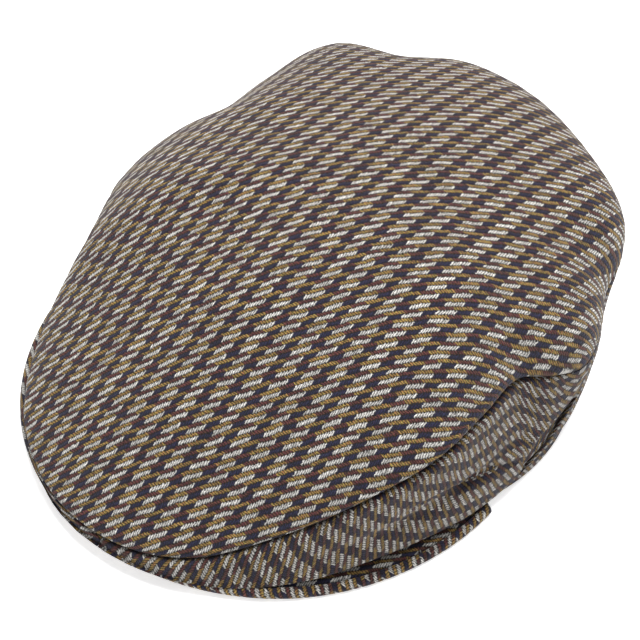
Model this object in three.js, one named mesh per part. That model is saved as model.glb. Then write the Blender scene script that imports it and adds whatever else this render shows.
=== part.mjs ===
import * as THREE from 'three';

// Flat cap in checked tweed, in millimetres, +Z up, front towards -Y, standing on its rim.
// Angles run in degrees from the front centre (0) over the +X side (90) to the back (180).
// The +X side is the wearer's left.

// Head opening, outside the hem
const rimWidth = 206;
const rimLength = 186;
const hemHeight = 6;
const hemWall = 4;

// Cloth
const clothWall = 2;
const seamGap = 0.3;

// Crown: its fullest outline is half an ellipse ahead of the head opening's middle and half
// behind. The dents of its edge die out over dentLength, a share of the way to the top, into a
// dome that starts at calmReach, a share of the fullest outline.
const crownWidth = 209;
const frontOverhang = 2;
const backOverhang = 26;
const crownHeight = 92;
const crownTopSetBack = 14;
const calmReach = 0.96;
const dentLength = 0.45;
const foldDepth = 3;

// Peak: its corners lie ahead of the head opening's middle, and its arch dies out behind them
const peakDepth = 54;
const peakWidth = 207;
const peakCornerAhead = 34;
const peakCornerBlend = 20;
const peakArch = 7;
const peakDroop = 5;
const edgeBand = 4;
const seamLift = 2.5;

// Facets round the cap, along the peak, across it and round its edge
const crownFacets = 96;
const peakFacets = 36;
const coverFacets = 6;
const edgeFacets = 4;

// Steps over the top that its normal is taken from: degrees round it and a share of the way in
const roundStep = 1;
const inwardStep = 0.01;

// The crown round the cap, from the back over the -X side (angle below zero) to the back again.
// reach: the top seam's distance out, as a share of the fullest outline's.
// height: the seam's height, as a share of the crown's rise above its seat on the peak.
// shoulder: how round the top is near its edge, 1 where it slopes up like a dome.
// slump: 1 where the side hangs low over its hem, 0 where it rises straight to the seam.
// fold: depth of the fold along the side, as a share of foldDepth.
const crownRows = [
  { angle: -180, reach: 1.015, height: 0.565, shoulder: 1.9, slump: 0.25, fold: 0 },
  { angle: -168, reach: 1.02, height: 0.555, shoulder: 1.9, slump: 0.25, fold: 0 },
  { angle: -155, reach: 0.98, height: 0.535, shoulder: 1.9, slump: 0.25, fold: 0 },
  { angle: -140, reach: 1.075, height: 0.505, shoulder: 1.9, slump: 0.5, fold: 0 },
  { angle: -122, reach: 0.95, height: 0.475, shoulder: 1.9, slump: 0.8, fold: 0 },
  { angle: -106, reach: 0.885, height: 0.45, shoulder: 1.8, slump: 1, fold: 0 },
  { angle: -93, reach: 0.925, height: 0.45, shoulder: 1.7, slump: 1, fold: 0 },
  { angle: -75, reach: 0.935, height: 0.475, shoulder: 1.55, slump: 1, fold: 0 },
  { angle: -55, reach: 0.915, height: 0.44, shoulder: 1.4, slump: 1, fold: 0 },
  { angle: -41, reach: 0.985, height: 0.2, shoulder: 1.25, slump: 1, fold: 0 },
  { angle: -27, reach: 1.03, height: 0.05, shoulder: 1.1, slump: 1, fold: 0 },
  { angle: -15, reach: 1.025, height: 0.005, shoulder: 1, slump: 1, fold: 0 },
  { angle: 0, reach: 1.005, height: 0, shoulder: 1, slump: 1, fold: 0 },
  { angle: 15, reach: 0.98, height: 0.06, shoulder: 1, slump: 1, fold: 0 },
  { angle: 27, reach: 0.965, height: 0.2, shoulder: 1.1, slump: 1, fold: 0 },
  { angle: 41, reach: 1, height: 0.41, shoulder: 1.25, slump: 1, fold: 0.4 },
  { angle: 55, reach: 1.005, height: 0.52, shoulder: 1.4, slump: 1, fold: 1 },
  { angle: 70, reach: 0.945, height: 0.545, shoulder: 1.55, slump: 1, fold: 1 },
  { angle: 83, reach: 0.905, height: 0.52, shoulder: 1.7, slump: 1, fold: 0.6 },
  { angle: 92, reach: 0.97, height: 0.46, shoulder: 1.75, slump: 1, fold: 0 },
  { angle: 100, reach: 1.02, height: 0.41, shoulder: 1.8, slump: 1, fold: 0 },
  { angle: 112, reach: 1.01, height: 0.39, shoulder: 1.9, slump: 0.8, fold: 0 },
  { angle: 122, reach: 0.99, height: 0.39, shoulder: 1.9, slump: 0.8, fold: 0 },
  { angle: 137, reach: 1.055, height: 0.465, shoulder: 1.9, slump: 0.5, fold: 0 },
  { angle: 158, reach: 1.015, height: 0.535, shoulder: 1.9, slump: 0.25, fold: 0 },
  { angle: 180, reach: 1.015, height: 0.565, shoulder: 1.9, slump: 0.25, fold: 0 },
];

// The side panel from the rim to the seam. hem: share of the hem's height. up: share of the way
// up from the hem to the seam. belly and seam: how far the section has come from the rim's line
// to the fullest outline and to the seam's line. fold: share of the fold's depth. inwards and
// upwards: where the inside of the wall lies, as shares of its thickness. The third row is the
// crease above the hem.
const panelRows = [
  { hem: 0, up: 0, belly: 0, seam: 0, fold: 0, inwards: 1, upwards: 0 },
  { hem: 1, up: 0, belly: 0, seam: 0, fold: 0, inwards: 1, upwards: 0 },
  { hem: 1, up: 0.04, belly: 0.1, seam: 0, fold: 0, inwards: 0.6, upwards: 0.8 },
  { hem: 1, up: 0.08, belly: 0.75, seam: 0, fold: 0, inwards: 0.5, upwards: 0.85 },
  { hem: 1, up: 0.18, belly: 1, seam: 0, fold: 0, inwards: 0.9, upwards: 0.3 },
  { hem: 1, up: 0.32, belly: 0.92, seam: 0.08, fold: 0.1, inwards: 1, upwards: 0 },
  { hem: 1, up: 0.43, belly: 0.78, seam: 0.22, fold: 1, inwards: 1, upwards: 0 },
  { hem: 1, up: 0.55, belly: 0.6, seam: 0.4, fold: 0.1, inwards: 1, upwards: -0.05 },
  { hem: 1, up: 0.7, belly: 0.36, seam: 0.64, fold: 0, inwards: 1, upwards: -0.1 },
  { hem: 1, up: 0.86, belly: 0.14, seam: 0.86, fold: 0, inwards: 1, upwards: -0.2 },
  { hem: 1, up: 1, belly: 0, seam: 1, fold: 0, inwards: 0.85, upwards: -0.5 },
];

// Rings of the top, as shares of the way from its edge to the crown's highest point
const topRings = [0, 0.06, 0.12, 0.2, 0.29, 0.38, 0.48, 0.58, 0.68, 0.78, 0.88, 0.95];

const peakThickness = 2 * clothWall + seamGap;
const peakFront = rimLength / 2 + peakDepth;
const crownFront = peakFront + frontOverhang;
const crownBack = rimLength / 2 + backOverhang;
const crownTop = new THREE.Vector3(0, crownTopSetBack, crownHeight);

const radians = THREE.MathUtils.degToRad;
const lerp = THREE.MathUtils.lerp;
const clamp = THREE.MathUtils.clamp;

// A smooth curve through one column of a table
function columnCurve(rows, along, column) {
  const curve = new THREE.CubicInterpolant(
    rows.map((row) => row[along]),
    rows.map((row) => row[column]),
    1,
  );
  curve.settings = {
    endingStart: THREE.ZeroSlopeEnding,
    endingEnd: THREE.ZeroSlopeEnding,
  };
  return (place) => curve.evaluate(place)[0];
}

const seamReach = columnCurve(crownRows, 'angle', 'reach');
const seamHeight = columnCurve(crownRows, 'angle', 'height');
const shoulderAt = columnCurve(crownRows, 'angle', 'shoulder');
const slumpAt = columnCurve(crownRows, 'angle', 'slump');
const foldAt = columnCurve(crownRows, 'angle', 'fold');

// An angle brought to -180 to 180
function wrap(angle) {
  return THREE.MathUtils.euclideanModulo(angle + 180, 360) - 180;
}

// Distance of an ellipse from its middle, at an angle from the front
function ellipseRadius(angle, halfWidth, halfLength) {
  const a = radians(angle);
  return 1 / Math.hypot(Math.sin(a) / halfWidth, Math.cos(a) / halfLength);
}

function polarPoint(angle, radius, height) {
  const a = radians(angle);
  return new THREE.Vector3(Math.sin(a) * radius, -Math.cos(a) * radius, height);
}

function rimRadius(angle) {
  return ellipseRadius(angle, rimWidth / 2, rimLength / 2);
}

function fullRadius(angle) {
  const reach = Math.abs(wrap(angle)) < 90 ? crownFront : crownBack;
  return ellipseRadius(angle, crownWidth / 2, reach);
}

// Height of the peak's underside over the ground: an arch from side to side that droops forwards
// and dies out behind the corners
function peakLift(x, y) {
  const arch = peakArch * Math.max(0, 1 - (x / (peakWidth / 2)) ** 2);
  const start = peakCornerAhead - peakCornerBlend;
  const fade = THREE.MathUtils.smoothstep(-y, start, peakCornerAhead + peakCornerBlend);
  const ahead = clamp((-y - peakCornerAhead) / (peakFront - peakCornerAhead), 0, 1);
  return Math.max(0, arch * fade - peakDroop * ahead);
}

// Height where the crown's front edge sits over the peak, with the side panel folded under it
const frontSeat = peakLift(0, -crownFront) + hemHeight + seamLift;

// The seam between the top and the sides
function seamPoint(angle) {
  const side = wrap(angle);
  const height = lerp(frontSeat, crownHeight, seamHeight(side));
  return polarPoint(angle, fullRadius(angle) * seamReach(side), height);
}

// The top, from its edge (inwards 0) to the crown's highest point (inwards 1)
function topPoint(angle, inwards) {
  const seam = seamPoint(angle);
  const side = wrap(angle);
  const rise = (1 - (1 - inwards) ** 2) ** (1 / shoulderAt(side));
  const calm = THREE.MathUtils.smoothstep(inwards, 0, dentLength);
  const reach = lerp(seamReach(side), calmReach, calm);
  const point = polarPoint(angle, fullRadius(angle) * reach, 0).lerp(crownTop, inwards);
  point.z = lerp(seam.z, crownTop.z, rise);
  return point;
}

// A point on the outside of the side panel, for one row of its table
function panelPoint(angle, row) {
  const seam = seamPoint(angle);
  const rim = rimRadius(angle);
  const seamOut = Math.hypot(seam.x, seam.y) - rim;
  const slumped = row.belly * (fullRadius(angle) - rim) + row.seam * seamOut;
  const straight = Math.sin(row.up * Math.PI / 2) * seamOut;
  const side = wrap(angle);
  const out = lerp(straight, slumped, slumpAt(side)) - foldDepth * foldAt(side) * row.fold;
  const point = polarPoint(angle, rim + out, 0);
  const hemTop = (peakLift(point.x, point.y) + hemHeight) * row.hem;
  point.z = lerp(hemTop, seam.z, row.up);
  return point;
}

// The same point on the inside of a wall
function insideOf(point, angle, wall, row) {
  const inside = point.clone().addScaledVector(polarPoint(angle, 1, 0), -wall * row.inwards);
  inside.z += wall * row.upwards;
  return inside;
}

// Unit normal of the top, from two short steps over it
function topNormal(angle, inwards) {
  const before = topPoint(angle - roundStep, inwards);
  const round = topPoint(angle + roundStep, inwards).sub(before);
  const outer = topPoint(angle, inwards - inwardStep);
  const across = topPoint(angle, inwards + inwardStep).sub(outer);
  return round.cross(across).normalize();
}

// A closed body from loops of points that all have the same count, each end closed by a fan
function loopsToSolid(loops, startPole, endPole) {
  const count = loops[0].length;
  const points = [startPole, ...loops.flat(), endPole];
  const last = points.length - 1;
  const faces = [];
  for (let i = 0; i < count; i += 1) {
    const next = (i + 1) % count;
    const top = last - count;
    faces.push(0, 1 + next, 1 + i);
    faces.push(last, top + i, top + next);
    for (let row = 0; row < loops.length - 1; row += 1) {
      const here = 1 + row * count;
      const there = here + count;
      faces.push(here + i, here + next, there + i);
      faces.push(here + next, there + next, there + i);
    }
  }
  return toGeometry(points, faces);
}

// A closed body from sections that all have the same count, each end closed flat by a strip
// between the points that face each other across the wall
function sectionsToSolid(sections) {
  const count = sections[0].length;
  const points = sections.flat();
  const last = points.length - count;
  const faces = [];
  for (let i = 0; i < count - 2 - i; i += 1) {
    const [a, b, c, d] = [i, i + 1, count - 2 - i, count - 1 - i];
    faces.push(d, b, a, last + a, last + b, last + d);
    if (b < c) {
      faces.push(d, c, b, last + b, last + c, last + d);
    }
  }
  for (let row = 0; row < sections.length - 1; row += 1) {
    for (let i = 0; i < count; i += 1) {
      const next = (i + 1) % count;
      const here = row * count;
      const there = here + count;
      faces.push(here + i, here + next, there + i);
      faces.push(here + next, there + next, there + i);
    }
  }
  return toGeometry(points, faces);
}

function toGeometry(points, faces) {
  const geometry = new THREE.BufferGeometry().setFromPoints(points);
  geometry.setIndex(faces);
  let volume = 0;
  for (let i = 0; i < faces.length; i += 3) {
    const [a, b, c] = [points[faces[i]], points[faces[i + 1]], points[faces[i + 2]]];
    volume += a.dot(b.clone().cross(c));
  }
  if (volume < 0) {
    geometry.setIndex([...faces].reverse());
  }
  geometry.computeVertexNormals();
  return geometry;
}

// The edge of a wall in the seam, raised or lowered by half the gap
function seamEdge(angle, side) {
  const outside = seamPoint(angle);
  outside.z += side * seamGap / 2;
  return [outside, insideOf(outside, angle, clothWall, panelRows.at(-1))];
}

function topPanel() {
  const outer = [];
  const inner = [];
  for (const share of topRings) {
    const outerRing = [];
    const innerRing = [];
    for (let i = 0; i < crownFacets; i += 1) {
      const angle = 360 * i / crownFacets;
      let [outside, inside] = seamEdge(angle, 1);
      if (share > 0) {
        outside = topPoint(angle, share);
        inside = outside.clone().addScaledVector(topNormal(angle, share), -clothWall);
      }
      outerRing.push(outside);
      innerRing.push(inside);
    }
    outer.unshift(outerRing);
    inner.push(innerRing);
  }
  const innerTop = crownTop.clone();
  innerTop.z -= clothWall;
  return loopsToSolid([...outer, ...inner], crownTop, innerTop);
}

// One side, +1 for the +X side, from the front centre to the back centre
function sidePanel(side) {
  const sections = [];
  for (let i = 0; i <= crownFacets / 2; i += 1) {
    const angle = side * 360 * i / crownFacets;
    const outer = [];
    const inner = [];
    for (const row of panelRows) {
      const wall = row.up === 0 ? hemWall : clothWall;
      let outside = panelPoint(angle, row);
      let inside = insideOf(outside, angle, wall, row);
      if (row.up === 1) {
        [outside, inside] = seamEdge(angle, -1);
      }
      outer.push(outside);
      inner.unshift(inside);
    }
    sections.push([...outer, ...inner]);
  }
  for (const point of sections.flat()) {
    point.x = side * Math.max(point.x * side, seamGap / 2);
  }
  return sectionsToSolid(sections);
}

// The peak's plan, from corner (along -1) to corner (along 1), and from the hem (out 0) to the
// outer edge (out 1)
function peakPlan(along, out) {
  const corner = THREE.MathUtils.radToDeg(Math.atan2(peakWidth / 2, peakCornerAhead));
  const inner = polarPoint(corner * along, rimRadius(corner * along) + seamGap, 0);
  const outer = polarPoint(90 * along, 1, 0);
  outer.x *= peakWidth / 2;
  outer.y = outer.y * (peakFront - peakCornerAhead) - peakCornerAhead;
  return inner.lerp(outer, out);
}

// A point of the peak, by its distance in from the outer edge and its height in the thickness
function peakPoint(along, fromEdge, height) {
  const inner = peakPlan(along, 0);
  const outer = peakPlan(along, 1);
  const width = inner.distanceTo(outer);
  const plan = outer.lerp(inner, clamp(fromEdge / width, 0, 1));
  plan.z = peakLift(plan.x, plan.y) + height;
  return plan;
}

function peakSolid(outlineAt) {
  const sections = [];
  for (let i = 0; i <= peakFacets; i += 1) {
    const along = 2 * i / peakFacets - 1;
    const width = peakPlan(along, 0).distanceTo(peakPlan(along, 1));
    sections.push(outlineAt(width).map((corner) => peakPoint(along, corner.x, corner.y)));
  }
  return sectionsToSolid(sections);
}

// Under cloth of the peak, with the band that rolls over the edge
function peakUnderCover() {
  return peakSolid((width) => {
    const corners = [];
    const radius = peakThickness / 2;
    for (let i = 0; i <= coverFacets; i += 1) {
      const inwards = (width - radius) * (1 - i / coverFacets) + radius;
      corners.push(new THREE.Vector2(inwards, 0));
    }
    for (let i = 1; i < edgeFacets; i += 1) {
      const a = Math.PI * i / edgeFacets;
      corners.push(new THREE.Vector2(radius - Math.sin(a) * radius, radius - Math.cos(a) * radius));
    }
    corners.push(new THREE.Vector2(radius, peakThickness));
    corners.push(new THREE.Vector2(edgeBand, peakThickness));
    for (let i = 0; i <= coverFacets; i += 1) {
      const inwards = lerp(edgeBand, width, i / coverFacets);
      corners.push(new THREE.Vector2(inwards, clothWall));
    }
    return corners;
  });
}

function peakTopCover() {
  return peakSolid((width) => {
    const corners = [];
    const start = edgeBand + seamGap;
    for (let i = 0; i <= coverFacets; i += 1) {
      corners.push(new THREE.Vector2(lerp(width, start, i / coverFacets), clothWall + seamGap));
    }
    for (let i = 0; i <= coverFacets; i += 1) {
      corners.push(new THREE.Vector2(lerp(start, width, i / coverFacets), peakThickness));
    }
    return corners;
  });
}

function piece(name, geometry, color) {
  const material = new THREE.MeshStandardMaterial({ color, roughness: 0.95, metalness: 0 });
  const mesh = new THREE.Mesh(geometry, material);
  mesh.name = name;
  return mesh;
}

const cap = new THREE.Group();
cap.add(
  piece('top_panel', topPanel(), 0x77695f),
  piece('side_panel_left', sidePanel(1), 0x6c6058),
  piece('side_panel_right', sidePanel(-1), 0x6c6058),
  piece('peak_top_cover', peakTopCover(), 0x77695f),
  piece('peak_under_cover', peakUnderCover(), 0x61554f),
);

// The origin is the middle of the footprint, on the ground
const box = new THREE.Box3().setFromObject(cap);
const middle = box.getCenter(new THREE.Vector3());
for (const mesh of cap.children) {
  mesh.geometry.translate(-middle.x, -middle.y, -box.min.z);
}

export default cap;
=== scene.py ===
import math

import bpy
import numpy as np
from mathutils import Matrix, Vector, noise


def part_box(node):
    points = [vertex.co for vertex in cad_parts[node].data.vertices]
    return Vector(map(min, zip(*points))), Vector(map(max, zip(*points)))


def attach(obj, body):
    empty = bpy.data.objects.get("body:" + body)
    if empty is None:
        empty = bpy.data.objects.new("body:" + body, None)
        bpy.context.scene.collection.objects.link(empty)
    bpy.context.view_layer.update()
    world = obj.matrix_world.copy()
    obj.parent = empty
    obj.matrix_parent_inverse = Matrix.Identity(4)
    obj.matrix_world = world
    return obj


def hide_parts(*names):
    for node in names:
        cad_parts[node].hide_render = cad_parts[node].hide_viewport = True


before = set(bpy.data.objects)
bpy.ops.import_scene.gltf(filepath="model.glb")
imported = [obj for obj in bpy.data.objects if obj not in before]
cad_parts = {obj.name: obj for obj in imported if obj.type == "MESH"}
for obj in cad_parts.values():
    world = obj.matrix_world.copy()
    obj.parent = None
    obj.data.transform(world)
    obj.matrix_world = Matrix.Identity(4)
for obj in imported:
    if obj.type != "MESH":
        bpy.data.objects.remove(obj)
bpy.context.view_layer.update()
print("frame loaded:", ", ".join(sorted(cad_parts)))

mm = 0.001

# the cap's pattern, the same sizes as its solids (metres)
capSizes = {
    "rimWidth": 206 * mm,
    "rimLength": 186 * mm,
    "hemHeight": 6 * mm,
    "hemWall": 4 * mm,
    "clothWall": 2 * mm,
    "seamGap": 0.3 * mm,
    "crownWidth": 209 * mm,
    "frontOverhang": 2 * mm,
    "backOverhang": 26 * mm,
    "crownHeight": 92 * mm,
    "crownTopSetBack": 14 * mm,
    "calmReach": 0.96,
    "dentLength": 0.45,
    "foldDepth": 3 * mm,
    "peakDepth": 54 * mm,
    "peakWidth": 207 * mm,
    "peakCornerAhead": 34 * mm,
    "peakCornerBlend": 20 * mm,
    "peakArch": 7 * mm,
    "peakDroop": 5 * mm,
    "edgeBand": 4 * mm,
    "seamLift": 2.5 * mm,
}

# round the crown: angle, then reach, height, shoulder, slump and fold
crownRows = [
    (-180, 1.015, 0.565, 1.9, 0.25, 0),
    (-168, 1.02, 0.555, 1.9, 0.25, 0),
    (-155, 0.98, 0.535, 1.9, 0.25, 0),
    (-140, 1.075, 0.505, 1.9, 0.5, 0),
    (-122, 0.95, 0.475, 1.9, 0.8, 0),
    (-106, 0.885, 0.45, 1.8, 1, 0),
    (-93, 0.925, 0.45, 1.7, 1, 0),
    (-75, 0.935, 0.475, 1.55, 1, 0),
    (-55, 0.915, 0.44, 1.4, 1, 0),
    (-41, 0.985, 0.2, 1.25, 1, 0),
    (-27, 1.03, 0.05, 1.1, 1, 0),
    (-15, 1.025, 0.005, 1, 1, 0),
    (0, 1.005, 0, 1, 1, 0),
    (15, 0.98, 0.06, 1, 1, 0),
    (27, 0.965, 0.2, 1.1, 1, 0),
    (41, 1.0, 0.41, 1.25, 1, 0.4),
    (55, 1.005, 0.52, 1.4, 1, 1),
    (70, 0.945, 0.545, 1.55, 1, 1),
    (83, 0.905, 0.52, 1.7, 1, 0.6),
    (92, 0.97, 0.46, 1.75, 1, 0),
    (100, 1.02, 0.41, 1.8, 1, 0),
    (112, 1.01, 0.39, 1.9, 0.8, 0),
    (122, 0.99, 0.39, 1.9, 0.8, 0),
    (137, 1.055, 0.465, 1.9, 0.5, 0),
    (158, 1.015, 0.535, 1.9, 0.25, 0),
    (180, 1.015, 0.565, 1.9, 0.25, 0),
]

# up the side above the hem: up, belly, seam, fold, inwards, upwards
sideRows = [
    (0, 0, 0, 0, 1, 0),
    (0.04, 0.1, 0, 0, 0.6, 0.8),
    (0.08, 0.75, 0, 0, 0.5, 0.85),
    (0.18, 1, 0, 0, 0.9, 0.3),
    (0.32, 0.92, 0.08, 0.1, 1, 0),
    (0.43, 0.78, 0.22, 1, 1, 0),
    (0.55, 0.6, 0.4, 0.1, 1, -0.05),
    (0.7, 0.36, 0.64, 0, 1, -0.1),
    (0.86, 0.14, 0.86, 0, 1, -0.2),
    (1, 0, 1, 0, 0.85, -0.5),
]


def smoothCurve(places, values):
    # a smooth line through a table's column, level at both ends
    places = np.array(places, float)
    values = np.array(values, float)
    slopes = np.diff(values) / np.diff(places)
    tangents = np.zeros(len(values))
    tangents[1:-1] = (slopes[:-1] + slopes[1:]) / 2

    def at(place):
        i = np.clip(np.searchsorted(places, place, side="right") - 1, 0, len(places) - 2)
        width = places[i + 1] - places[i]
        p = np.clip((place - places[i]) / width, 0, 1)
        a = (1 + 2 * p) * (1 - p) ** 2 * values[i] + p * (1 - p) ** 2 * width * tangents[i]
        b = p * p * (3 - 2 * p) * values[i + 1] + p * p * (p - 1) * width * tangents[i + 1]
        return a + b

    return at


crownAngles = [row[0] for row in crownRows]
seamReach, seamHeight, shoulderAt, slumpAt, foldAt = [
    smoothCurve(crownAngles, [row[i] for row in crownRows]) for i in range(1, 6)
]
sideSteps = list(range(len(sideRows)))
upAt, bellyAt, seamAt, creaseAt, inwardsAt, upwardsAt = [
    smoothCurve(sideSteps, [row[i] for row in sideRows]) for i in range(6)
]


def smoothStep(x, low, high):
    t = np.clip((x - low) / (high - low), 0, 1)
    return t * t * (3 - 2 * t)


def mix(a, b, t):
    return a + (b - a) * t


def wrapAngle(angle):
    return (np.asarray(angle, float) + 180) % 360 - 180


def ellipseRadius(angle, halfWidth, halfLength):
    a = np.radians(angle)
    return 1 / np.hypot(np.sin(a) / halfWidth, np.cos(a) / halfLength)


def polar(angle, radius):
    a = np.radians(angle)
    return np.sin(a) * radius, -np.cos(a) * radius


peakFront = capSizes["rimLength"] / 2 + capSizes["peakDepth"]
crownFront = peakFront + capSizes["frontOverhang"]
crownBack = capSizes["rimLength"] / 2 + capSizes["backOverhang"]


def rimRadius(angle):
    return ellipseRadius(angle, capSizes["rimWidth"] / 2, capSizes["rimLength"] / 2)


def fullRadius(angle):
    reach = np.where(np.abs(wrapAngle(angle)) < 90, crownFront, crownBack)
    return ellipseRadius(angle, capSizes["crownWidth"] / 2, reach)


def peakLift(x, y):
    corner, blend = capSizes["peakCornerAhead"], capSizes["peakCornerBlend"]
    arch = capSizes["peakArch"] * np.maximum(0, 1 - (x / (capSizes["peakWidth"] / 2)) ** 2)
    ahead = np.clip((-y - corner) / (peakFront - corner), 0, 1)
    return np.maximum(0, arch * smoothStep(-y, corner - blend, corner + blend) - capSizes["peakDroop"] * ahead)


frontSeat = float(peakLift(0.0, -crownFront)) + capSizes["hemHeight"] + capSizes["seamLift"]


def seamPoint(angle):
    side = wrapAngle(angle)
    x, y = polar(angle, fullRadius(angle) * seamReach(side))
    return np.stack([x, y, mix(frontSeat, capSizes["crownHeight"], seamHeight(side))], -1)


def topPoint(angle, inwards):
    side = wrapAngle(angle)
    seam = seamPoint(angle)
    rise = (1 - (1 - inwards) ** 2) ** (1 / shoulderAt(side))
    calm = smoothStep(inwards, 0, capSizes["dentLength"])
    x, y = polar(angle, fullRadius(angle) * mix(seamReach(side), capSizes["calmReach"], calm))
    x = mix(x, 0, inwards)
    y = mix(y, capSizes["crownTopSetBack"], inwards)
    return np.stack([x, y, mix(seam[..., 2], capSizes["crownHeight"], rise)], -1)


def wavy(points, size, seed):
    # soft unevenness, -1 to 1
    offset = Vector((seed * 17.3, seed * 5.1, seed * 29.7))
    flat = points.reshape(-1, 3)
    return np.array([noise.noise(Vector(p) / size + offset) for p in flat]).reshape(points.shape[:-1])


def gridNormals(points, closed):
    if closed:
        wide = np.roll(points, -1, 0) - np.roll(points, 1, 0)
    else:
        wide = np.gradient(points, axis=0)
    n = np.cross(wide, np.gradient(points, axis=1))
    return n / np.maximum(np.linalg.norm(n, axis=-1, keepdims=True), 1e-12)


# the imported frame's origin, seen from the middle of the head opening
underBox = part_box("peak_under_cover")
frameShift = np.array([
    (underBox[0].x + underBox[1].x) / 2,
    underBox[0].y + peakFront,
    0,
])


def makeCloth(name, columns, places, closed, material, capAfter=None):
    # columns: rings of points round each section, the same count in each; places: where each
    # point lies in the flat cloth; capAfter: the rings after it meet in the middle
    count, ring = columns.shape[:2]
    points = (columns + frameShift).reshape(-1, 3)
    places = places.reshape(-1, 2)
    faces = []
    spans = count if closed else count - 1
    for i in range(spans):
        here, there = i * ring, (i + 1) % count * ring
        for j in range(ring):
            k = (j + 1) % ring
            if j != capAfter:
                faces.append((here + j, there + j, there + k, here + k))
    if capAfter is not None:
        for j, flip in ((capAfter, False), (capAfter + 1, True)):
            middle = len(points)
            points = np.concatenate([points, points[j:count * ring:ring].mean(0)[None]])
            places = np.concatenate([places, places[j:count * ring:ring].mean(0)[None]])
            for i in range(count):
                fan = (i * ring + j, (i + 1) % count * ring + j, middle)
                faces.append(fan[::-1] if flip else fan)
    if not closed:
        for start, flip in ((0, False), ((count - 1) * ring, True)):
            for j in range(ring // 2 - 1):
                quad = (start + j, start + j + 1, start + ring - 2 - j, start + ring - 1 - j)
                faces.append(quad[::-1] if flip else quad)
    mesh = bpy.data.meshes.new(name)
    mesh.from_pydata(points.tolist(), [], faces)
    layer = mesh.uv_layers.new(name="cloth")
    corners = np.zeros(len(mesh.loops), np.int32)
    mesh.loops.foreach_get("vertex_index", corners)
    layer.data.foreach_set("uv", places[corners].astype(np.float32).ravel())
    mesh.polygons.foreach_set("use_smooth", np.ones(len(faces), bool))
    mesh.update()
    piece = bpy.data.objects.new(name, mesh)
    bpy.context.scene.collection.objects.link(piece)
    volume = sum(f.normal.dot(f.center) * f.area for f in mesh.polygons)
    if volume < 0:
        mesh.flip_normals()
    mesh.materials.append(material)
    return piece


# tweed: 7 cream and 5 navy ends, 7 gold and 5 rust picks, woven in a steep twill
tweedLook = {
    "endsRepeat": 8.5,  # mm across the cream and navy ends
    "picksRepeat": 10.4,  # mm along the gold and rust picks
    "endsInRepeat": 12,
    "creamEnds": 6.5,
    "picksInRepeat": 12,
    "goldPicks": 6.5,
    "warpShare": 0.50,  # share of a twill line that the ends cover
    "goldStart": 3,  # picks by which the gold leads the cream
    "cream": (0.64, 0.62, 0.585, 1),
    "navy": (0.012, 0.013, 0.050, 1),
    "gold": (0.295, 0.178, 0.050, 1),
    "rust": (0.108, 0.031, 0.026, 1),
    "haze": (0.40, 0.36, 0.32, 1),
    "hazeShare": 0.03,
    "wander": 1.4,  # mm that rows of yarn wander
    "wobble": 0.85,  # mm that single yarns wander
    "yarnDepth": 0.00028,
}


class NodeBench:
    # short names for adding shader nodes
    def __init__(self, material):
        material.use_nodes = True
        self.tree = material.node_tree
        self.tree.nodes.clear()

    def add(self, kind, inputs=None, **settings):
        node = self.tree.nodes.new(kind)
        for key, value in settings.items():
            setattr(node, key, value)
        for key, value in (inputs or {}).items():
            if isinstance(value, bpy.types.NodeSocket):
                self.tree.links.new(value, node.inputs[key])
            else:
                node.inputs[key].default_value = value
        return node

    def math(self, operation, a, b=0.0, c=0.0, clamp=False):
        node = self.add("ShaderNodeMath", {0: a, 1: b, 2: c}, operation=operation, use_clamp=clamp)
        return node.outputs[0]

    def mixColor(self, factor, a, b, blend="MIX"):
        node = self.add("ShaderNodeMix", {0: factor, 6: a, 7: b}, data_type="RGBA", blend_type=blend)
        return node.outputs[2]


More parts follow.
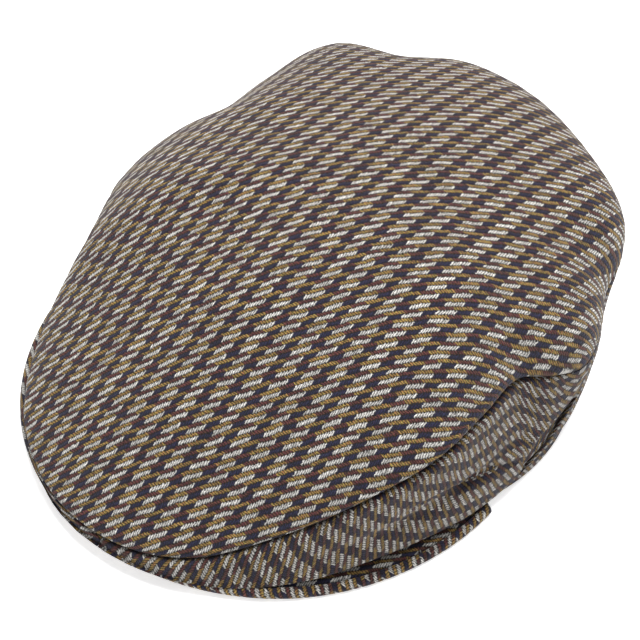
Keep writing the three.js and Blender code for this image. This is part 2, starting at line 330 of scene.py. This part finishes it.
def tweedMaterial(name, toneAndPaintedShade):
    look = tweedLook
    material = bpy.data.materials.new(name)
    bench = NodeBench(material)
    m = bench.math
    uv = bench.add("ShaderNodeUVMap", uv_map="cloth").outputs[0]
    cloth = bench.add("ShaderNodeMapping", {"Vector": uv, "Scale": (1000, 1000, 1000)})
    cloth = cloth.outputs[0]

    # the yarns wander a little
    drift = bench.add("ShaderNodeTexNoise", {"Vector": cloth, "Scale": 0.09, "Detail": 2.0}, noise_dimensions="2D")
    drift = bench.add("ShaderNodeVectorMath", {0: drift.outputs["Color"], 1: (0.5, 0.5, 0.5)}, operation="SUBTRACT")
    drift = bench.add("ShaderNodeVectorMath", {0: drift.outputs[0], "Scale": look["wander"]}, operation="SCALE")
    small = bench.add("ShaderNodeTexNoise", {"Vector": cloth, "Scale": 1.1, "Detail": 2.0}, noise_dimensions="2D")
    small = bench.add("ShaderNodeVectorMath", {0: small.outputs["Color"], 1: (0.5, 0.5, 0.5)}, operation="SUBTRACT")
    small = bench.add("ShaderNodeVectorMath", {0: small.outputs[0], "Scale": look["wobble"]}, operation="SCALE")
    place = bench.add("ShaderNodeVectorMath", {0: cloth, 1: drift.outputs[0]}, operation="ADD")
    place = bench.add("ShaderNodeVectorMath", {0: place.outputs[0], 1: small.outputs[0]}, operation="ADD")
    split = bench.add("ShaderNodeSeparateXYZ", {0: place.outputs[0]})
    x, y = split.outputs[0], split.outputs[1]

    endWidth = look["endsRepeat"] / look["endsInRepeat"]
    pickWidth = look["picksRepeat"] / look["picksInRepeat"]
    twillSlope = look["picksRepeat"] / look["endsRepeat"]
    ribHeight = look["picksRepeat"] / 2

    ends = m("DIVIDE", x, endWidth)
    endIndex = m("FLOOR", ends)
    acrossEnd = m("FRACT", ends)
    picks = m("DIVIDE", y, pickWidth)
    pickIndex = m("FLOOR", picks)
    acrossPick = m("FRACT", picks)

    # how far along its float each yarn is
    endMiddle = m("MULTIPLY", m("ADD", endIndex, 0.5), endWidth)
    alongEnd = m("FRACT", m("DIVIDE", m("SUBTRACT", y, m("MULTIPLY", endMiddle, twillSlope)), ribHeight))
    pickMiddle = m("MULTIPLY", m("ADD", pickIndex, 0.5), pickWidth)
    alongPick = m("FRACT", m("DIVIDE", m("SUBTRACT", pickMiddle, m("MULTIPLY", x, twillSlope)), ribHeight))

    def arch(value, low, high):
        t = m("DIVIDE", m("SUBTRACT", value, low), high - low, clamp=True)
        return m("MULTIPLY", m("MULTIPLY", t, m("SUBTRACT", 1.0, t)), 4.0)

    share = look["warpShare"]
    endHeight = m("MULTIPLY", m("POWER", arch(alongEnd, 0.0, share), 0.7), m("POWER", arch(acrossEnd, 0.0, 1.0), 1.1))
    pickHeight = m("MULTIPLY", m("POWER", arch(alongPick, share, 1.0), 0.7), m("POWER", arch(acrossPick, 0.0, 1.0), 1.1))
    endShows = m("LESS_THAN", alongEnd, share)
    height = bench.add("ShaderNodeMix", {0: endShows, 2: pickHeight, 3: endHeight}).outputs[0]

    # colours by the order of the yarns
    isNavy = m("GREATER_THAN", m("FRACT", m("DIVIDE", endIndex, float(look["endsInRepeat"]))), look["creamEnds"] / look["endsInRepeat"])
    leadIndex = m("ADD", pickIndex, float(look["goldStart"]))
    isRust = m("GREATER_THAN", m("FRACT", m("DIVIDE", leadIndex, float(look["picksInRepeat"]))), look["goldPicks"] / look["picksInRepeat"])
    endColor = bench.mixColor(isNavy, look["cream"], look["navy"])
    pickColor = bench.mixColor(isRust, look["gold"], look["rust"])
    color = bench.mixColor(endShows, pickColor, endColor)

    # each yarn and each tuft of it takes the dye a little differently
    endTone = bench.add("ShaderNodeTexWhiteNoise", {"W": endIndex}, noise_dimensions="1D").outputs["Value"]
    pickTone = bench.add("ShaderNodeTexWhiteNoise", {"W": m("ADD", pickIndex, 0.5)}, noise_dimensions="1D").outputs["Value"]
    tone = bench.add("ShaderNodeMix", {0: endShows, 2: pickTone, 3: endTone}).outputs[0]
    tuft = bench.add("ShaderNodeTexNoise", {"Vector": cloth, "Scale": 1.1, "Detail": 2.0}, noise_dimensions="2D")
    streaks = []
    for stretch in ((4.2, 1.3, 1), (1.3, 4.2, 1)):
        streak = bench.add("ShaderNodeMapping", {"Vector": cloth, "Scale": stretch})
        streaks.append(bench.add("ShaderNodeTexNoise", {"Vector": streak.outputs[0], "Scale": 1.0, "Detail": 2.0}, noise_dimensions="2D").outputs["Fac"])
    fibre = bench.add("ShaderNodeMix", {0: endShows, 2: streaks[1], 3: streaks[0]}).outputs[0]
    value = m("ADD", m("MULTIPLY", tone, 0.30), m("MULTIPLY", tuft.outputs["Fac"], 1.30))
    value = m("ADD", value, m("MULTIPLY", fibre, 1.35))
    lineIndex = m("FLOOR", m("DIVIDE", m("SUBTRACT", y, m("MULTIPLY", x, twillSlope)), ribHeight))
    blockIndex = m("FLOOR", m("DIVIDE", x, look["endsRepeat"] / 2))
    block = bench.add("ShaderNodeCombineXYZ", {0: blockIndex, 1: lineIndex, 2: endShows})
    blockTone = bench.add("ShaderNodeTexWhiteNoise", {"Vector": block.outputs[0]}, noise_dimensions="3D").outputs["Value"]
    value = m("ADD", value, m("MULTIPLY", blockTone, 0.36))
    # scaled by the cloth's brightness, which also holds painted shade on the side cloths and a little painted light on
    # the peak and its edge band
    value = m("MULTIPLY", m("SUBTRACT", value, 0.70), toneAndPaintedShade)
    # painted shade: the colour darkens where the yarns dip between one another, nearly black at the bottom of the gaps
    gap = m("ADD", m("MULTIPLY", height, 1.15), 0.04)
    value = m("MULTIPLY", value, gap)
    tint = bench.add("ShaderNodeSeparateColor", {0: tuft.outputs["Color"]}).outputs[1]
    hue = bench.add("ShaderNodeHueSaturation", {
        "Hue": m("ADD", m("MULTIPLY", tint, 0.14), 0.43),
        "Value": value,
        "Color": color,
    })
    veil = m("MULTIPLY", m("ADD", fibre, tuft.outputs["Fac"]), look["hazeShare"])
    color = bench.mixColor(veil, hue.outputs[0], look["haze"])

    relief = m("ADD", height, m("MULTIPLY", fibre, 0.5))
    bump = bench.add("ShaderNodeBump", {"Strength": 0.75, "Distance": look["yarnDepth"], "Height": relief})
    shader = bench.add("ShaderNodeBsdfPrincipled", {
        "Base Color": color,
        "Roughness": 0.92,
        "Normal": bump.outputs[0],
    })
    shader.inputs["Specular IOR Level"].default_value = 0.25
    shader.inputs["Sheen Weight"].default_value = 0.12
    shader.inputs["Sheen Roughness"].default_value = 0.45
    shader.inputs["Sheen Tint"].default_value = (0.86, 0.84, 0.78, 1)
    bench.add("ShaderNodeOutputMaterial", {"Surface": shader.outputs[0]})
    return material


# four copies of one tweed: the side cloths are darkened as painted shade, the peak and its edge band made a little
# lighter as painted light
topTweed = tweedMaterial("topTweed", toneAndPaintedShade=0.89)
sideTweedPaintedShade = tweedMaterial("sideTweedPaintedShade", toneAndPaintedShade=0.72)
peakTweed = tweedMaterial("peakTweed", toneAndPaintedShade=0.92)
edgeTweed = tweedMaterial("edgeTweed", toneAndPaintedShade=0.90)
print("tweed mixed")


# top: one cloth from the peak to the back, rolled into its seam all round
topCut = {
    "stations": 360,
    "rings": 88,
    "seamRoll": 4.6 * mm,  # width of the roll into the seam
    "seamDrop": 4.4 * mm,
    "puckerDepth": 0.5 * mm,
    "puckerWidth": 9 * mm,
    "wave": 0.9 * mm,
    "ease": 0.8,  # the cloth is a little fuller on the wearer's right, per metre
    "flat": (0.262, 0.335),
    "flatArea": 0.0535,
}


def seamPucker(angle, seed):
    # short gathers along a seam, 0 to 1
    x, y = polar(angle, 0.120)
    points = np.stack([x, y, np.full_like(x, seed * 0.31)], -1)
    return wavy(points, 7 * mm, seed) * 0.6 + wavy(points, 3.6 * mm, seed + 3) * 0.4


def unit(vectors):
    return vectors / np.maximum(np.linalg.norm(vectors, axis=-1, keepdims=True), 1e-12)


def outwardsOf(points):
    # a grid's unit normals, turned away from the middle of the cap
    n = gridNormals(points, False)
    middle = np.array([0, capSizes["crownTopSetBack"], 0.3 * capSizes["crownHeight"]])
    return n * np.where((n * (points - middle)).sum(-1) < 0, -1, 1)[..., None]


def seamInwards(angle):
    # the way in which the edges of top and side turn at their seam
    around = np.linspace(-184, 184, 369)
    a, v = np.meshgrid(around, [0.012, 0.02, 0.03], indexing="ij")
    over = outwardsOf(topPoint(a, v))[:, 0]
    a, s = np.meshgrid(around, [8.4, 8.6, 8.8], indexing="ij")
    under = outwardsOf(sideSection(a, s))[:, 2]
    way = -unit(over + under)
    side = wrapAngle(angle)
    return unit(np.stack([np.interp(side, around, way[:, i]) for i in range(3)], -1))


# the seam is deep at the front and pulled nearly flat behind the dents
seamDepth = smoothCurve([-180, -110, -70, -30, 76, 84, 94, 130, 180], [0.5, 0.45, 0.7, 0.9, 1, 0.8, 0.28, 0.35, 0.5])


def seamDrop(distance, width, depth):
    # how far the cloth has turned in at a distance from the seam
    roll = np.clip(1 - distance / width, 0, 1)
    return depth * (1 - np.sqrt(np.maximum(0, 1 - roll ** 2)))


def topCloth():
    cut = topCut
    angles = np.linspace(0, 360, cut["stations"], endpoint=False)
    steps = np.linspace(0, 1, cut["rings"]) ** 1.35 * 0.985
    a, v = np.meshgrid(angles, steps, indexing="ij")
    base = topPoint(a, v)
    base[:, 0, 2] += capSizes["seamGap"] / 2
    normals = gridNormals(base, True)
    normals[normals[..., 2] < 0] *= -1
    along = np.zeros(a.shape)
    along[:, 1:] = np.cumsum(np.linalg.norm(np.diff(base, axis=1), axis=-1), axis=1)
    turned = seamInwards(a) * (seamDrop(along, cut["seamRoll"], cut["seamDrop"]) * seamDepth(wrapAngle(a)))[..., None]
    pucker = seamPucker(a, 1) * cut["puckerDepth"] * np.exp(-((along - 3 * mm) / cut["puckerWidth"]) ** 2)
    pucker *= smoothStep(along, 0, 2.5 * mm)
    wave = wavy(base, 42 * mm, 2) * cut["wave"] * smoothStep(along, 4 * mm, 30 * mm)
    outer = base + turned + normals * (pucker + wave)[..., None]
    inner = base + turned - normals * capSizes["clothWall"]
    edge = 0.85 * capSizes["clothWall"] / np.linalg.norm(base[:, 0, :2], axis=-1)[:, None]
    inner[:, 0] = base[:, 0] + turned[:, 0] - np.concatenate([base[:, 0, :2] * edge, 0 * edge + 0.5 * capSizes["clothWall"]], -1)
    inner = np.concatenate([inner[:, :-1:4], inner[:, -1:]], axis=1)
    rings = np.concatenate([outer, inner[:, ::-1]], axis=1)
    places = clothPlaces(base)
    under = np.concatenate([places[:, :-1:4], places[:, -1:]], axis=1)
    places = np.concatenate([places, under[:, ::-1]], axis=1)
    return rings, places


def clothPlaces(points):
    # the flat cloth: across it, the arc over the crown's top; along it, the arc at each width
    step = 1 * mm
    xs = np.arange(-116, 117) * step
    ys = np.arange(-160, 141) * step
    a, v = np.meshgrid(np.linspace(0, 360, 1440, endpoint=False), np.linspace(0, 1, 420), indexing="ij")
    dense = topPoint(a, v).reshape(-1, 3)
    total, weight = np.zeros((len(xs), len(ys))), np.zeros((len(xs), len(ys)))
    i = np.rint((dense[:, 0] - xs[0]) / step).astype(int)
    j = np.rint((dense[:, 1] - ys[0]) / step).astype(int)
    np.add.at(total, (i, j), dense[:, 2])
    np.add.at(weight, (i, j), 1)
    height = np.where(weight > 0, total / np.maximum(weight, 1), np.nan)
    middle = int(round((capSizes["crownTopSetBack"] - ys[0]) / step))
    row = height[:, middle]
    row[np.isnan(row)] = np.nanmin(row)
    across = np.concatenate([[0], np.cumsum(np.hypot(step, np.diff(row)))])
    across -= np.interp(0, xs, across)
    slope = np.nan_to_num(np.diff(height, axis=1) / step)
    slope = np.clip(slope, -2.5, 2.5)
    along = np.concatenate([np.zeros((len(xs), 1)), np.cumsum(np.hypot(1, slope) * step, axis=1)], axis=1)
    along -= along[:, middle:middle + 1]
    fx = np.clip((points[..., 0] - xs[0]) / step, 0, len(xs) - 1.001)
    fy = np.clip((points[..., 1] - ys[0]) / step, 0, len(ys) - 1.001)
    ix, iy = fx.astype(int), fy.astype(int)
    tx, ty = fx - ix, fy - iy
    v = mix(mix(along[ix, iy], along[ix + 1, iy], tx), mix(along[ix, iy + 1], along[ix + 1, iy + 1], tx), ty)
    u = np.interp(points[..., 0], xs, across)
    return np.stack([u - topCut["ease"] * u ** 2, v], -1)


def makeTop():
    rings, places = topCloth()
    piece = makeCloth("topCloth", rings, places, True, topTweed, topCut["rings"] - 1)
    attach(piece, "root")
    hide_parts("top_panel")
    return piece


# sides: from the turned hem up to the seam, one cloth on each side
sideCut = {
    "stations": 220,
    "rowsPerStep": 9,
    "hemRound": 1.5 * mm,
    "seamRoll": 4.2 * mm,
    "seamDrop": 4.4 * mm,
    "creaseWidth": 0.26,  # in rows of the side's table
    "tuckWidth": 0.65,
    "puckerDepth": 0.55 * mm,
    "puckerWidth": 8 * mm,
    "wave": 0.7 * mm,
    "sag": 5.5 * mm,  # how far the belly sinks towards the peak
    "flat": (0.335, 0.105),
    "flatArea": 0.0225,
}


# sharp creases: angle, row of the side's table, depth in mm
creaseLeft = [
    (46, 6.2, 0),
    (54, 6.0, 1.3),
    (60, 5.6, 1.7),
    (64, 4.9, 2.1),
    (73, 4.55, 1.9),
    (79, 3.8, 1.5),
    (84, 3.3, 0.6),
    (87, 3.2, 0),
]
creaseRight = [
    (40, 5.6, 0),
    (52, 5.3, 1.1),
    (68, 4.6, 1.6),
    (84, 4.2, 0.9),
    (96, 4.4, 0),
]

# where the belly tucks down behind the hem: angle, row, how far down, how far in, in mm
tuckLeft = [
    (79, 2.6, 0, 0),
    (83.5, 3.0, 4, 1.5),
    (87, 3.3, 7, 3.8),
    (91, 3.8, 9, 4.6),
    (95, 4.4, 9, 4.6),
    (99, 5.3, 6, 3.2),
    (104, 5.9, 0, 0),
]


def tuckDrop(angle, step, rows, width):
    # how far down and in the cloth goes behind its lower strip
    places = [row[0] for row in rows]
    middle = np.interp(angle, places, [row[1] for row in rows])
    share = np.exp(-((step - middle) / width) ** 4)
    down, inward = (np.interp(angle, places, [row[i] for row in rows]) * mm * share for i in (2, 3))
    return down, inward


def creaseDepth(angle, step, rows, width):
    # a groove along the crease, and a soft swelling of the cloth above it
    places = [row[0] for row in rows]
    middle = np.interp(angle, places, [row[1] for row in rows])
    depth = np.interp(angle, places, [row[2] for row in rows]) * mm
    groove = np.exp(-((step - middle) / width) ** 2)
    swell = np.exp(-((step - middle - 2.6 * width) / (2 * width)) ** 2)
    return depth * (groove - 0.35 * swell)


# the ends against the hem, in degrees, from the front to the back seam
grainLean = smoothCurve([0, 38, 56, 70, 84, 115, 180], [-72, -50, -34, -25, -16, -6, 4])


def sideSection(angle, step):
    # one row up the side above the hem, for all angles: outside and inside points
    side = wrapAngle(angle)
    seam = seamPoint(angle)
    rim = rimRadius(angle)
    seamOut = np.hypot(seam[..., 0], seam[..., 1]) - rim
    up = upAt(step)
    slumped = bellyAt(step) * (fullRadius(angle) - rim) + seamAt(step) * seamOut
    straight = np.sin(up * math.pi / 2) * seamOut
    fold = capSizes["foldDepth"] * foldAt(side) * creaseAt(step)
    out = mix(straight, slumped, slumpAt(side)) - fold
    x, y = polar(angle, rim + out)
    hemTop = peakLift(x, y) + capSizes["hemHeight"]
    z = mix(hemTop, seam[..., 2], up)
    return np.stack([x, y, z], -1)


def sideCloth(side):
    cut = sideCut
    angles = side * np.linspace(0, 180, cut["stations"])
    steps = np.linspace(0, len(sideRows) - 1, (len(sideRows) - 1) * cut["rowsPerStep"] + 1)
    a, s = np.meshgrid(angles, steps, indexing="ij")
    outer = sideSection(a, s)
    radial = np.stack([np.sin(np.radians(a)), -np.cos(np.radians(a)), np.zeros(a.shape)], -1)
    upward = np.array([0, 0, 1.0])
    wall = capSizes["clothWall"]
    inner = outer - radial * (wall * inwardsAt(s))[..., None] + upward * (wall * upwardsAt(s))[..., None]
    seamGap = capSizes["seamGap"]
    outer[:, -1, 2] -= seamGap / 2
    inner[:, -1, 2] -= seamGap / 2
    normals = gridNormals(outer, False)
    normals *= np.where((normals * radial).sum(-1) < 0, -1, 1)[..., None]
    along = np.zeros(a.shape)
    along[:, 1:] = np.cumsum(np.linalg.norm(np.diff(outer, axis=1), axis=-1), axis=1)
    below = along[:, -1:] - along
    turned = seamInwards(a) * (seamDrop(below, cut["seamRoll"], cut["seamDrop"]) * seamDepth(wrapAngle(a)))[..., None]
    inner += turned
    fade = smoothStep(along, 3 * mm, 10 * mm) * smoothStep(below, 0, 2.5 * mm)
    creased = creaseDepth(a * side, s, creaseLeft if side > 0 else creaseRight, cut["creaseWidth"])
    pucker = seamPucker(a, 5) * cut["puckerDepth"] * np.exp(-((below - 3 * mm) / cut["puckerWidth"]) ** 2)
    wave = wavy(outer, 24 * mm, 6) * cut["wave"] * smoothStep(below, 3 * mm, 12 * mm)
    shaped = outer + turned + normals * ((pucker + wave) * fade - creased)[..., None]
    if side > 0:
        down, inward = tuckDrop(a, s, tuckLeft, cut["tuckWidth"])
        shaped = shaped - upward * down[..., None] - radial * inward[..., None]
    sag = cut["sag"] * smoothStep(s, 0, 2) * (1 - smoothStep(s, 2.5, 6)) * (1 - smoothStep(np.abs(a), 70, 88))
    for surface, lift in ((shaped, 0), (inner, wall)):
        seat = peakLift(surface[..., 0], surface[..., 1]) + 2 * wall + 2 * seamGap + lift
        sunk = np.maximum(surface[..., 2] - sag, np.minimum(seat, surface[..., 2]))
        surface[..., 2] = sunk

    # the turned hem below, round at its foot
    rim = rimRadius(angles)
    hemTop = outer[:, 0, 2]
    r = cut["hemRound"]
    foot = []
    for t in np.linspace(0, 90, 5):
        foot.append((-r * (1 - math.sin(math.radians(t))), r * (1 - math.cos(math.radians(t)))))
    hemOut = [(out, z, None) for out, z in foot] + [(0, None, share) for share in (0.3, 0.5, 0.75)]
    hemIn = [(-capSizes["hemWall"] - out, z, None) for out, z in foot]
    hemIn += [(-capSizes["hemWall"], None, share) for share in (0.3, 0.6, 0.9)]

    def hemColumn(rows):
        column = []
        for out, z, share in rows:
            x, y = polar(angles, rim + out)
            height = np.full(len(angles), z) if share is None else r + (hemTop - r) * share
            column.append(np.stack([x, y, height], -1))
        return np.stack(column, 1)

    outside = np.concatenate([hemColumn(hemOut), shaped], axis=1)
    inside = np.concatenate([hemColumn(hemIn), inner[:, ::3]], axis=1)
    ring = np.concatenate([outside, inside[:, ::-1]], axis=1)
    near = seamGap / 2
    ring[..., 0] = side * np.maximum(ring[..., 0] * side, near)

    # flat places: along the hem, and up the outside or on under the hem and up the inside
    middle = np.stack(polar(angles, rim * 1.06), -1)
    run = np.concatenate([[0], np.cumsum(np.linalg.norm(np.diff(middle, axis=0), axis=-1))])
    def climb(points):
        return np.concatenate([np.zeros((len(angles), 1)), np.cumsum(np.linalg.norm(np.diff(points, axis=1), axis=-1), axis=1)], axis=1)
    up = np.concatenate([climb(outside), (-0.001 - climb(inside))[:, ::-1]], axis=1)
    lean = np.radians(grainLean(np.linspace(0, 180, cut["stations"])))
    step = np.gradient(run)
    pathX, pathY = np.cumsum(np.sin(lean) * step), np.cumsum(np.cos(lean) * step)
    places = np.stack([
        side * (pathX[:, None] - up * np.cos(lean)[:, None]),
        pathY[:, None] + up * np.sin(lean)[:, None],
    ], -1)
    return ring, places


def makeSide(name, side, node):
    ring, places = sideCloth(side)
    piece = makeCloth(name, ring, places, False, sideTweedPaintedShade)
    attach(piece, "root")
    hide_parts(node)
    return piece


# peak: an upper cloth, and an under cloth that rolls over the edge as a narrow band
peakCut = {
    "stations": 200,
    "across": 26,
    "edgeSteps": 12,
    "topFlat": (0.215, 0.125),
    "topArea": 0.0098,
    "underFlat": (0.225, 0.135),
    "underArea": 0.0112,
}


def peakPlan(along, out):
    corner = math.degrees(math.atan2(capSizes["peakWidth"] / 2, capSizes["peakCornerAhead"]))
    innerX, innerY = polar(corner * along, rimRadius(corner * along) + capSizes["seamGap"])
    a = np.radians(90 * along)
    outerX = np.sin(a) * capSizes["peakWidth"] / 2
    outerY = -np.cos(a) * (peakFront - capSizes["peakCornerAhead"]) - capSizes["peakCornerAhead"]
    return np.stack([mix(innerX, outerX, out), mix(innerY, outerY, out)], -1)


def peakPoints(along, fromEdge, height):
    inner, outer = peakPlan(along, 0.0), peakPlan(along, 1.0)
    width = np.linalg.norm(outer - inner, axis=-1)
    plan = mix(outer, inner, np.clip(fromEdge / width, 0, 1)[..., None])
    z = peakLift(plan[..., 0], plan[..., 1]) + height
    return np.concatenate([plan, z[..., None]], -1)


def peakCloth(outline, turned=False):
    along = np.linspace(-1, 1, peakCut["stations"])
    width = np.linalg.norm(peakPlan(along, 1.0) - peakPlan(along, 0.0), axis=-1)
    rows, runs = [], []
    for point in outline(width):
        rows.append(peakPoints(along, point[0], point[1]))
        runs.append(point[2])
    ring = np.stack(rows, 1)
    run = np.stack(runs, 1)
    # flat places: the plan, with the roll over the edge carried on outwards
    plan = peakPoints(along, width * 0, along * 0)[:, None, :2]
    outwards = peakPlan(along, 1.0) - peakPlan(along, 0.0)
    outwards /= np.linalg.norm(outwards, axis=-1, keepdims=True)
    places = plan - outwards[:, None] * run[..., None]
    if turned:
        places = np.stack([places[..., 1], -places[..., 0]], -1)
    return ring, places


def peakTop():
    wall, gap, band = capSizes["clothWall"], capSizes["seamGap"], capSizes["edgeBand"]
    thick = 2 * wall + gap

    def outline(width):
        start = band + gap
        points = []
        for t in np.linspace(0, 1, 8):
            inwards = mix(width, start, t)
            points.append((inwards, wall + gap + 0 * width, inwards))
        for t in np.linspace(0, 1, peakCut["across"]):
            inwards = mix(start, width, t ** 1.5)
            roll = np.clip(1 - (inwards - start) / (1.6 * mm), 0, 1)
            points.append((inwards, thick - 0.9 * mm * (1 - np.sqrt(1 - roll ** 2)), inwards))
        return points

    return peakCloth(outline)


def peakUnder():
    wall, gap, band = capSizes["clothWall"], capSizes["seamGap"], capSizes["edgeBand"]
    thick = 2 * wall + gap
    radius = thick / 2
    half = radius * math.pi

    def outline(width):
        points = []
        for t in np.linspace(0, 1, 14):
            inwards = mix(width, radius, t)
            points.append((inwards, 0 * width, radius - half - inwards + radius))
        for t in np.linspace(0, 180, peakCut["edgeSteps"])[1:-1]:
            a = math.radians(t)
            inwards = radius - math.sin(a) * radius + 0 * width
            points.append((inwards, radius - math.cos(a) * radius + 0 * width, radius * a + radius - half + 0 * width))
        for t in np.linspace(0, 1, 8):
            inwards = mix(radius, band, t)
            roll = max(0.0, t - 0.45) / 0.55
            points.append((inwards + 0 * width, thick - 1.0 * mm * (1 - math.sqrt(1 - roll ** 2)) + 0 * width, inwards + 0 * width))
        for t in np.linspace(0, 1, 8):
            inwards = mix(band, width, t)
            points.append((inwards, wall + 0 * width, inwards))
        return points

    return peakCloth(outline, turned=True)


def makePeak(name, shape, node, material):
    ring, places = shape()
    piece = makeCloth(name, ring, places, False, material)
    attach(piece, "root")
    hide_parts(node)
    return piece


top = makeTop()
print("top cloth sewn:", len(top.data.polygons), "faces")
sideLeft = makeSide("sideClothLeft", 1, "side_panel_left")
sideRight = makeSide("sideClothRight", -1, "side_panel_right")
print("side cloths sewn:", len(sideLeft.data.polygons), "faces each")
peakTopPiece = makePeak("peakTopCloth", peakTop, "peak_top_cover", peakTweed)
peakUnderPiece = makePeak("peakUnderCloth", peakUnder, "peak_under_cover", edgeTweed)
print("peak covered")


# studio: a pale floor, soft light from above
studio = {
    "floorSize": 6.0,
    "floorColor": (0.93, 0.93, 0.94, 1),
    "floorGlow": 0.6,
    "skyColor": (0.97, 0.98, 1.0, 1),
    "skyStrength": 0.38,
    "keyPower": 44.0,
    "keyPlace": (-0.05, 0.3, 1.8),
    "keySize": 1.1,
    "fillPower": 1.0,
    "fillPlace": (-0.9, -1.1, 1.0),
    "fillSize": 1.2,
}


def makeStudio():
    size = studio["floorSize"] / 2
    mesh = bpy.data.meshes.new("floor")
    mesh.from_pydata([(-size, -size, 0), (size, -size, 0), (size, size, 0), (-size, size, 0)], [], [(0, 1, 2, 3)])
    floor = bpy.data.objects.new("floor", mesh)
    bpy.context.scene.collection.objects.link(floor)
    material = bpy.data.materials.new("paleFloor")
    bench = NodeBench(material)
    speck = bench.add("ShaderNodeTexNoise", {"Scale": 3.0, "Detail": 1.0})
    color = bench.mixColor(speck.outputs["Fac"], studio["floorColor"], (0.95, 0.95, 0.95, 1))
    shader = bench.add("ShaderNodeBsdfPrincipled", {
        "Base Color": color,
        "Roughness": 0.9,
        "Emission Color": (1, 1, 1, 1),
        "Emission Strength": studio["floorGlow"],
    })
    bench.add("ShaderNodeOutputMaterial", {"Surface": shader.outputs[0]})
    mesh.materials.append(material)
    world = bpy.data.worlds.new("studioSky")
    world.use_nodes = True
    world.node_tree.nodes["Background"].inputs[0].default_value = studio["skyColor"]
    world.node_tree.nodes["Background"].inputs[1].default_value = studio["skyStrength"]
    bpy.context.scene.world = world
    for name in ("key", "fill"):
        light = bpy.data.lights.new(name, "AREA")
        light.energy = studio[name + "Power"]
        light.shape = "DISK"
        light.size = studio[name + "Size"]
        lamp = bpy.data.objects.new(name, light)
        lamp.location = studio[name + "Place"]
        lamp.rotation_euler = (-Vector(studio[name + "Place"])).to_track_quat("-Z", "Y").to_euler()
        bpy.context.scene.collection.objects.link(lamp)


makeStudio()
bpy.context.scene.view_settings.view_transform = "Standard"
print("studio lit")

# camera, placed from the middle of the head opening
view = {
    "azimuth": 34.08,
    "elevation": 47.09,
    "roll": -5.2,
    "distance": 1.00821,
    "sideways": -0.00731,
    "upwards": 0.007316,
    "focalPixels": 2412.12,
}


def makeCamera():
    a, e, r = (math.radians(view[k]) for k in ("azimuth", "elevation", "roll"))
    back = Vector((math.sin(a) * math.cos(e), -math.cos(a) * math.cos(e), math.sin(e)))
    right = Vector((math.cos(a), math.sin(a), 0))
    up = Vector((-math.sin(a) * math.sin(e), math.cos(a) * math.sin(e), math.cos(e)))
    place = right * view["sideways"] + up * view["upwards"] + back * view["distance"] + Vector(frameShift)
    rolledRight = right * math.cos(r) - up * math.sin(r)
    rolledUp = right * math.sin(r) + up * math.cos(r)
    data = bpy.data.cameras.new("camera")
    data.sensor_width = 36
    data.lens = view["focalPixels"] * 36 / 640
    data.clip_end = 20
    camera = bpy.data.objects.new("camera", data)
    turned = Matrix((rolledRight, rolledUp, back)).transposed().to_4x4()
    camera.matrix_world = Matrix.Translation(place) @ turned
    bpy.context.scene.collection.objects.link(camera)
    bpy.context.scene.camera = camera


makeCamera()
print("camera placed")
